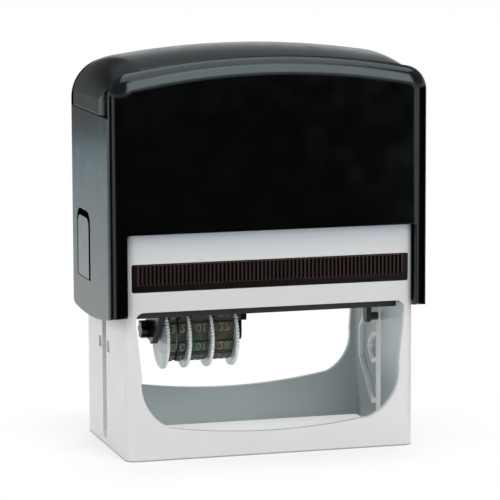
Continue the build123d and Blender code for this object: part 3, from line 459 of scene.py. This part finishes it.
def coil(name, node, steps=28, sides=10):
    """A round wire wound over the box of its CAD node."""
    low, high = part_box(node)
    middle = (low + high) / 2
    start = low[2] + COIL_WIRE
    rise = high[2] - low[2] - 2 * COIL_WIRE
    climb = rise / (COIL_TURNS * 2 * pi * COIL_RADIUS)
    count = steps * COIL_TURNS
    points = []
    for i in range(count + 1):
        angle = 2 * pi * i / steps
        out = Vector((cos(angle), sin(angle), 0))
        along = Vector((-sin(angle), cos(angle), climb))
        across = out.cross(along.normalized())
        centre = Vector((middle.x, middle.y, start + rise * i / count)) + COIL_RADIUS * out
        for k in range(sides):
            turn = 2 * pi * k / sides
            points.append(centre + COIL_WIRE * (cos(turn) * out + sin(turn) * across))
    faces = [list(range(sides)), list(range(count * sides, (count + 1) * sides))[::-1]]
    for i in range(count):
        for k in range(sides):
            a = i * sides + k
            b = i * sides + (k + 1) % sides
            faces.append((a, a + sides, b + sides, b))
    piece = mesh_object(name, points, faces, spring_steel)
    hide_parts(node)
    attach(piece, "frame")
    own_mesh(piece)


coil("spring_left", "return_spring_left")
coil("spring_right", "return_spring_right")


# Felt pad and foam cushion: soft slabs with a worn, rounded rim on the open side

def spread(low, high, cuts, step):
    """Places from low to high, through the cuts, about a step apart."""
    stops = [low, *sorted(cuts), high]
    places = [low]
    for start, end in zip(stops, stops[1:]):
        count = max(1, round((end - start) / step))
        places += [start + (end - start) * (i + 1) / count for i in range(count)]
    return places


def soft_slab(name, node, body, material, hole=(), rim=1.6 * MM, worn=0.22 * MM, step=1.3 * MM):
    """A slab in its CAD node's space. The hole, if any, is its low and high X, then Y."""
    low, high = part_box(node)
    xs = spread(low[0], high[0], hole[:2], step)
    ys = spread(low[1], high[1], hole[2:], step)

    def there(i, j):
        """Whether the cell right of column i and behind row j is part of the slab."""
        if not (0 <= i < len(xs) - 1 and 0 <= j < len(ys) - 1):
            return False
        if not hole:
            return True
        x = (xs[i] + xs[i + 1]) / 2
        y = (ys[j] + ys[j + 1]) / 2
        return not (hole[0] < x < hole[1] and hole[2] < y < hole[3])

    def edge_distance(x, y):
        """How far a point of the face is from the slab's rim or the hole's."""
        near = min(x - low[0], high[0] - x, y - low[1], high[1] - y)
        if hole:
            away_x = max(hole[0] - x, x - hole[1], 0)
            away_y = max(hole[2] - y, y - hole[3], 0)
            near = min(near, hypot(away_x, away_y))
        return near

    points = []
    for y in ys:
        for x in xs:
            drop = worn * max(0.0, 1 - edge_distance(x, y) / rim) ** 2
            points.append((x, y, low[2] + drop))
            points.append((x, y, high[2]))
    faces = []
    columns = len(xs)
    for j in range(len(ys) - 1):
        for i in range(columns - 1):
            if not there(i, j):
                continue
            a = 2 * (j * columns + i)
            b = a + 2
            c = b + 2 * columns
            d = a + 2 * columns
            faces += [(a, d, c, b), (a + 1, b + 1, c + 1, d + 1)]
            sides = ((a, b, i, j - 1), (b, c, i + 1, j), (c, d, i, j + 1), (d, a, i - 1, j))
            faces += [(p, q, q + 1, p + 1) for p, q, m, n in sides if not there(m, n)]
    piece = mesh_object(name, points, faces, material, smooth=False)
    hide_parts(node)
    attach(piece, body)
    return piece


felt = soft_slab("felt_pad", "ink_pad", "cartridge", pad_felt)

support_low, support_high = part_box("band_support")
band_low, band_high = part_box("date_band_tens")
date_hole = (support_low[0] + HOLE_INSET, support_high[0] - HOLE_INSET,
             band_low[1] - HOLE_GAP, band_high[1] + HOLE_GAP)
foam = soft_slab("foam_cushion", "die_cushion", "carriage", cushion_foam, hole=date_hole,
                 rim=0.8 * MM, worn=0.1 * MM)


# Figures on the date bands: raised, and reversed as on any type

def figure_mesh(text):
    """Points and faces of raised figures, centred on their plane."""
    curve = bpy.data.curves.new("figure", "FONT")
    curve.body = text
    curve.size = FONT_SIZE
    curve.align_x = "CENTER"
    curve.align_y = "CENTER"
    curve.extrude = FIGURE_RISE / 2
    curve.resolution_u = 4
    carrier = bpy.data.objects.new("figure", curve)
    bpy.context.scene.collection.objects.link(carrier)
    bpy.context.view_layer.update()
    mesh = bpy.data.meshes.new_from_object(carrier)
    points = [v.co.copy() for v in mesh.vertices]
    faces = [list(p.vertices) for p in mesh.polygons]
    bpy.data.objects.remove(carrier)
    bpy.data.meshes.remove(mesh)
    bpy.data.curves.remove(curve)
    middle = (min(p.x for p in points) + max(p.x for p in points)) / 2
    centre = (min(p.y for p in points) + max(p.y for p in points)) / 2
    return [p - Vector((middle, centre, 0)) for p in points], faces


wheel_low, wheel_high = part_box("date_wheel_tens")
axle_y = (wheel_low[1] + wheel_high[1]) / 2
axle_z = (wheel_low[2] + wheel_high[2]) / 2


def block_places(node):
    """Where the type blocks of a band stand: middle of the face in Y and Z, and its direction."""
    low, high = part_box(node)
    outer = (axle_z - low[2]) - BLOCK_RISE
    top = high[2] - BLOCK_RISE
    middle = (axle_z + top) / 2 - BLOCK_RISE

    def corner(way, angle):
        """The block on an upper corner of the loop, behind or in front."""
        y = axle_y + way * (outer - LOOP_CORNER) + LOOP_CORNER * cos(angle)
        return y, top - LOOP_CORNER + LOOP_CORNER * sin(angle), angle

    lower_angles = [-pi + LOWER_STEP / 2 + LOWER_STEP * i for i in range(LOWER_BLOCKS)]
    lower = [(axle_y + outer * cos(a), axle_z + outer * sin(a), a) for a in lower_angles]
    behind = [(axle_y + outer, middle + i * BLOCK_PITCH, 0.0) for i in (-1, 0, 1)]
    upper = [corner(1, CORNER_ANGLE), (axle_y, top, pi / 2), corner(-1, pi - CORNER_ANGLE)]
    front = [(axle_y - outer, middle + i * BLOCK_PITCH, pi) for i in (1, 0, -1)]
    return lower + behind + upper + front


def band_figures(name, node, texts):
    """The raised figures of one band, as one piece."""
    low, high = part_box(node)
    middle_x = (low[0] + high[0]) / 2
    along = Vector((1, 0, 0))
    points = []
    faces = []
    for (y, z, angle), text in zip(block_places(node), texts):
        out = Vector((0, cos(angle), sin(angle)))
        up = Vector((0, -sin(angle), cos(angle)))
        face = Vector((middle_x, y, z)) + (BLOCK_RISE + FIGURE_RISE / 2) * out
        flat, sides = figure_mesh(text)
        start = len(points)
        points += [face + p.x * along + p.y * up + p.z * out for p in flat]
        faces += [[start + i for i in f] for f in sides]
    piece = mesh_object(name, points, faces, figure_rubber, smooth=False)
    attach(piece, "carriage")


for band, band_texts in BAND_TEXTS.items():
    band_figures(f"figures_{band}", f"date_band_{band}", band_texts)


# Floor and world

def seen_share(tree):
    """One for rays that see the background directly, in gloss or through clear parts, else zero."""
    ray = add(tree, "ShaderNodeLightPath")
    total = ray.outputs["Is Camera Ray"]
    for kind in ("Is Glossy Ray", "Is Transmission Ray"):
        both = add(tree, "ShaderNodeMath", operation="ADD", use_clamp=True)
        tree.links.new(total, both.inputs[0])
        tree.links.new(ray.outputs[kind], both.inputs[1])
        total = both.outputs["Value"]
    return total


def floor_finish():
    """A pale floor, seen as white away from the frame and with its shadow close to it."""
    material, tree, shader, place = new_material("floor")
    drift = vary(tree, noise(tree, place, FLOOR_DRIFT))
    tree.links.new(blend(tree, drift, FLOOR_DARK, FLOOR_LIGHT), shader.inputs["Base Color"])
    shader.inputs["Roughness"].default_value = FLOOR_ROUGH
    shader.inputs["Specular IOR Level"].default_value = FLOOR_SHEEN
    side = vector_math(tree, "ABSOLUTE", place.outputs["Object"])
    beyond = vector_math(tree, "SUBTRACT", side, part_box("base_frame")[1])
    distance = vector_math(tree, "LENGTH", vector_math(tree, "MAXIMUM", beyond, (0, 0, 0)))
    white = ramp(tree, distance, (0.0, WHITE_REACH), WHITE_SHARES, smooth=True)
    glow = add(tree, "ShaderNodeEmission", Strength=1.0)
    mix_surface(tree, product(tree, white, seen_share(tree)),
                shader.outputs["BSDF"], glow.outputs["Emission"])
    return material


floor_corners = [(-FLOOR_HALF, -FLOOR_HALF, 0), (FLOOR_HALF, -FLOOR_HALF, 0),
                 (FLOOR_HALF, FLOOR_HALF, 0), (-FLOOR_HALF, FLOOR_HALF, 0)]
floor = mesh_object("floor", floor_corners, [(0, 1, 2, 3)], floor_finish(), smooth=False)

world = bpy.data.worlds.new("studio")
bpy.context.scene.world = world
world.use_nodes = True
world_tree = world.node_tree
world_shade = world_tree.nodes["Background"]
world_shade.inputs["Color"].default_value = WORLD_COLOUR
world_place = add(world_tree, "ShaderNodeTexCoord")
world_parts = add(world_tree, "ShaderNodeSeparateXYZ")
world_tree.links.new(world_place.outputs["Generated"], world_parts.inputs["Vector"])
world_level = ramp(world_tree, world_parts.outputs["Z"], WORLD_HEIGHTS, WORLD_LEVELS, smooth=True)
world_tree.links.new(world_level, world_shade.inputs["Strength"])


# Lamps, and the cards that only gloss sees

def softbox(name, place, size, power, in_gloss=True):
    """A square soft lamp that faces the object, and whether gloss shows it."""
    lamp = bpy.data.lights.new(name, "AREA")
    lamp.shape = "SQUARE"
    lamp.size = size
    lamp.energy = power
    lamp.color = LAMP_COLOUR
    carrier = bpy.data.objects.new(name, lamp)
    bpy.context.scene.collection.objects.link(carrier)
    carrier.location = place
    towards = LAMP_TARGET - Vector(place)
    carrier.rotation_euler = towards.to_track_quat("-Z", "Y").to_euler()
    carrier.visible_glossy = in_gloss


softbox("lamp_top", place=(0.1, 0.15, 1.6), size=1.8, power=15.0)
softbox("lamp_front", place=(0.3, -1.4, 1.15), size=1.6, power=24.0)
softbox("lamp_left", place=(-1.5, 0.1, 0.8), size=0.9, power=12.0, in_gloss=False)
softbox("lamp_back", place=(0.5, 1.5, 0.9), size=1.4, power=12.0, in_gloss=False)


def gloss_card(name, start, end, near=0.08, far=0.42, top=0.13, colour=CARD_BLACK,
               shares=(1.0, 1.0)):
    """A card round the object, such as a photographer sets beside gloss. Only gloss sees it.

    It spans the degrees from start to end, where 0 is the front and 90 the right. It lies from
    near to far and then stands up to top. Its share goes from one to the other with the distance.
    """
    material, tree, shader, place = new_material(name)
    tree.nodes.remove(shader)
    distance = vector_math(tree, "LENGTH", place.outputs["Object"])
    clear = add(tree, "ShaderNodeBsdfTransparent")
    glow = add(tree, "ShaderNodeEmission", Color=(*colour, 1), Strength=1.0)
    mix_surface(tree, ramp(tree, distance, (near, far), shares),
                clear.outputs["BSDF"], glow.outputs["Emission"])
    profile = ((near, CARD_LIFT), (far, CARD_LIFT), (far, top))
    points = []
    for i in range(CARD_STEPS + 1):
        angle = radians(start + (end - start) * i / CARD_STEPS)
        points += [(r * sin(angle), -r * cos(angle), z) for r, z in profile]
    faces = []
    for i in range(CARD_STEPS):
        a = 3 * i
        faces += [(a, a + 3, a + 4, a + 1), (a + 1, a + 4, a + 5, a + 2)]
    card = mesh_object(name, points, faces, material)
    card.visible_camera = False
    card.visible_diffuse = False
    card.visible_transmission = False
    card.visible_shadow = False


gloss_card("black_card_left", start=-118, end=-95)
gloss_card("black_card_front", start=-78, end=28)
gloss_card("black_card_right", start=57, end=125)
gloss_card("grey_card_left", start=-195, end=-120, near=0.09, far=0.80, top=0.01,
           colour=CARD_GREY, shares=(0.0, 0.68))
gloss_card("black_card_back", start=-186, end=-150, near=0.84, far=0.85, top=0.42,
           shares=(0.8, 0.8))


# Camera

back = Vector((-sin(CAMERA_AZIMUTH) * cos(CAMERA_ELEVATION),
               -cos(CAMERA_AZIMUTH) * cos(CAMERA_ELEVATION), sin(CAMERA_ELEVATION)))
level_right = Vector((cos(CAMERA_AZIMUTH), -sin(CAMERA_AZIMUTH), 0))
level_up = back.cross(level_right)
right = level_right * cos(CAMERA_ROLL) + level_up * sin(CAMERA_ROLL)
up = level_up * cos(CAMERA_ROLL) - level_right * sin(CAMERA_ROLL)
camera_data = bpy.data.cameras.new("camera")
camera_data.sensor_width = SENSOR
camera_data.lens = FOCAL_PIXELS / PICTURE_SIZE * SENSOR
camera_data.clip_start = CAMERA_NEAR
camera = bpy.data.objects.new("camera", camera_data)
bpy.context.scene.collection.objects.link(camera)
turned = Matrix((right, up, back)).transposed().to_4x4()
camera.matrix_world = Matrix.Translation(CAMERA_TARGET + back * CAMERA_DISTANCE) @ turned
bpy.context.scene.camera = camera

bpy.context.scene.view_settings.view_transform = "Standard"
